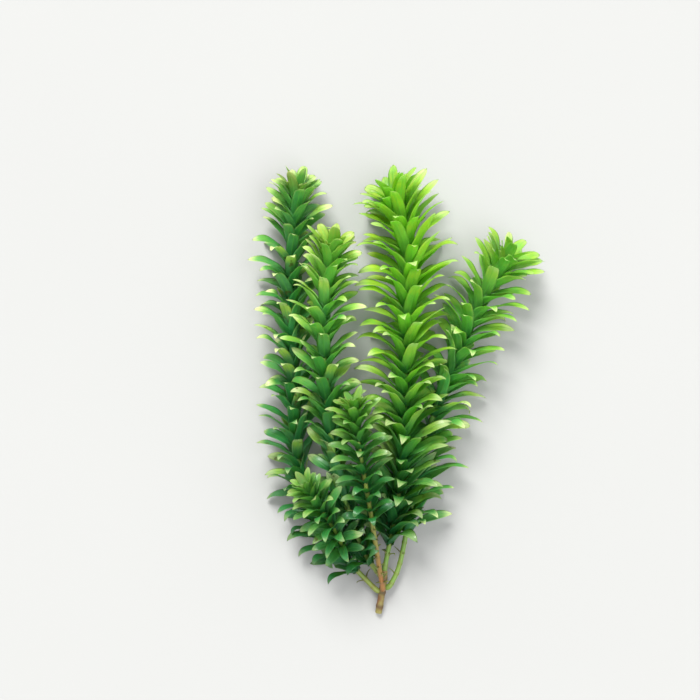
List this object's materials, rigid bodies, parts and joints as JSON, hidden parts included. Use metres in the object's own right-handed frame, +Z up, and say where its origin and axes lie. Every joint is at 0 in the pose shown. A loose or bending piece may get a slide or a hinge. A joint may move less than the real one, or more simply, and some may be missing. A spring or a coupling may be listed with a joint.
{
  "type": "aquarium plant",
  "caption": "Bushy submerged aquarium plant lying as picked: upright leafy shoots with dense whorls of strap-like, recurved leaves branch from the short bare foot of an old stem, cut off flat.",
  "frame": {"origin": "on the surface that the plant lies on, under the middle of its box", "axes": "+Y from the cut foot towards the tips of the shoots, the plant's longest extent; +Z up from the surface, its shortest extent; +X to the right with the shoots' tips away from the viewer"},
  "size_m": [0.1202, 0.1826, 0.0464],
  "materials": {
    "leafy_shoot": "smooth, slightly translucent living leaf",
    "old_stem": "smooth brownish green old stem"
  },
  "bodies": {
    "root": {"stem_foot": "old_stem", "main_shoot": "leafy_shoot", "left_back_shoot": "leafy_shoot", "left_front_shoot": "leafy_shoot", "right_shoot": "leafy_shoot", "small_front_shoot": "leafy_shoot", "small_left_shoot": "leafy_shoot"}
  },
  "joints": []
}
